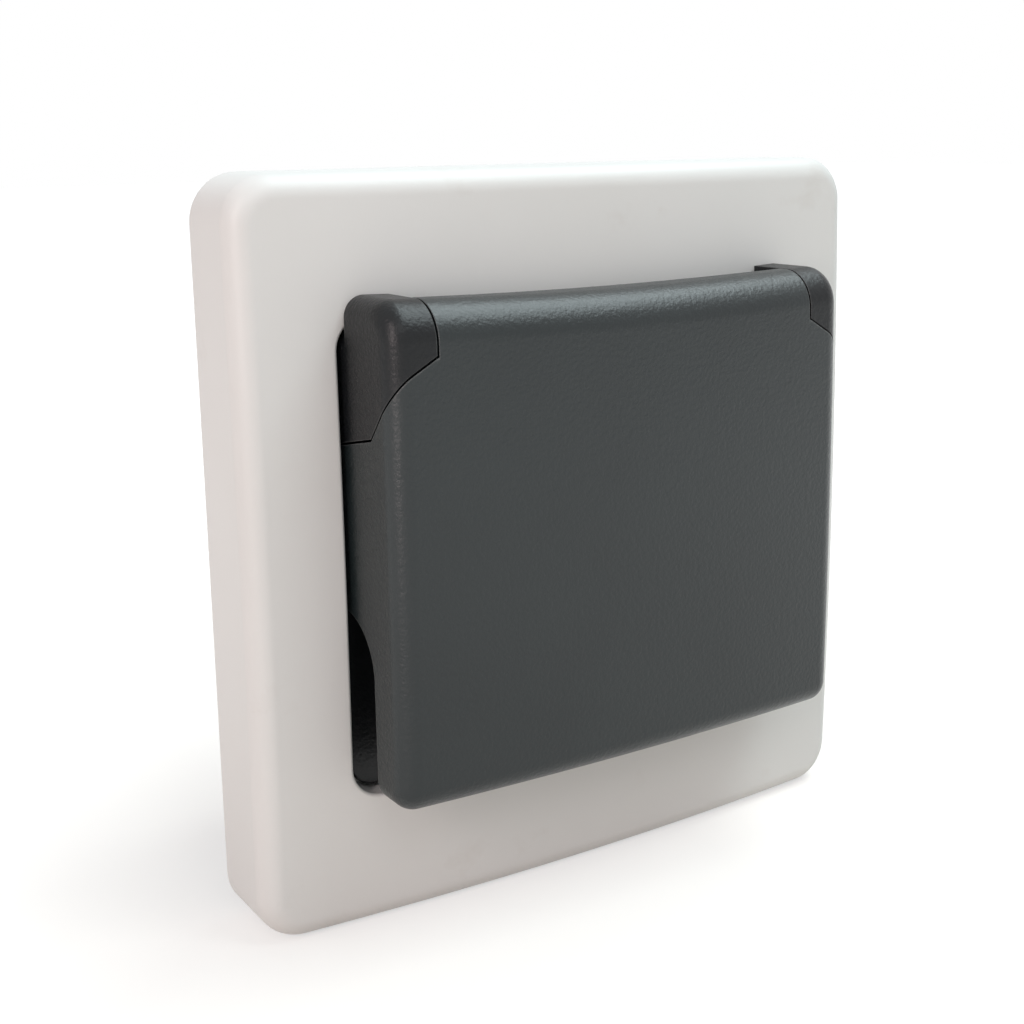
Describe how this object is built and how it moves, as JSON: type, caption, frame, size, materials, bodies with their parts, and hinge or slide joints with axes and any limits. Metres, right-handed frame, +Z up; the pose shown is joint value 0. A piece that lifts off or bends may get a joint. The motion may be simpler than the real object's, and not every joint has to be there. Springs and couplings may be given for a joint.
{
  "type": "outdoor wall socket",
  "caption": "Square flush-mounted outdoor wall socket with a domed frame and a hinged lid that shuts over its round socket well.",
  "frame": {"origin": "in the wall plane, behind the middle of the square cover frame", "axes": "+Z up, +X to the right seen from the front, +Y into the wall, so the front looks towards -Y"},
  "size_m": [0.084, 0.0514, 0.084],
  "materials": {
    "white_plastic": "smooth, satin",
    "anthracite_plastic": "fine spark-eroded grain",
    "black_rubber": "matt",
    "insulating_plastic": "moulded, matt",
    "zinc_plated_steel": "zinc plated",
    "pin_steel": "drawn, bright",
    "brass": "punched and tumbled"
  },
  "bodies": {
    "housing": {"cover_frame": "white_plastic", "wall_seal": "black_rubber", "plate_seal": "black_rubber", "centre_plate": "anthracite_plastic", "support_ring": "zinc_plated_steel", "ring_rivets": "zinc_plated_steel", "socket_base": "insulating_plastic", "rear_cover": "insulating_plastic", "earth_bracket": "zinc_plated_steel", "earth_terminal": "brass", "line_contact": "brass", "neutral_contact": "brass", "line_screw": "zinc_plated_steel", "neutral_screw": "zinc_plated_steel", "earth_screw": "zinc_plated_steel", "centre_screw": "zinc_plated_steel", "hinge_pin": "pin_steel", "shutter_spring": "pin_steel"},
    "flap": {"lid": "anthracite_plastic", "lid_gasket": "black_rubber"},
    "shutter": {"shutter": "anthracite_plastic"}
  },
  "joints": [
    {"name": "lid_hinge", "type": "hinge", "parent": "housing", "child": "flap", "pos_m": [0, -0.0185, 0.0252], "axis": [-1, 0, 0], "range_deg": [0, 105]},
    {"name": "shutter_slide", "type": "slide", "parent": "housing", "child": "shutter", "axis": [0, 0, -1], "range_m": [0, 0.0062], "stiffness_N_per_m": 60, "springref_m": -0.002, "deforming": ["shutter_spring"]}
  ]
}
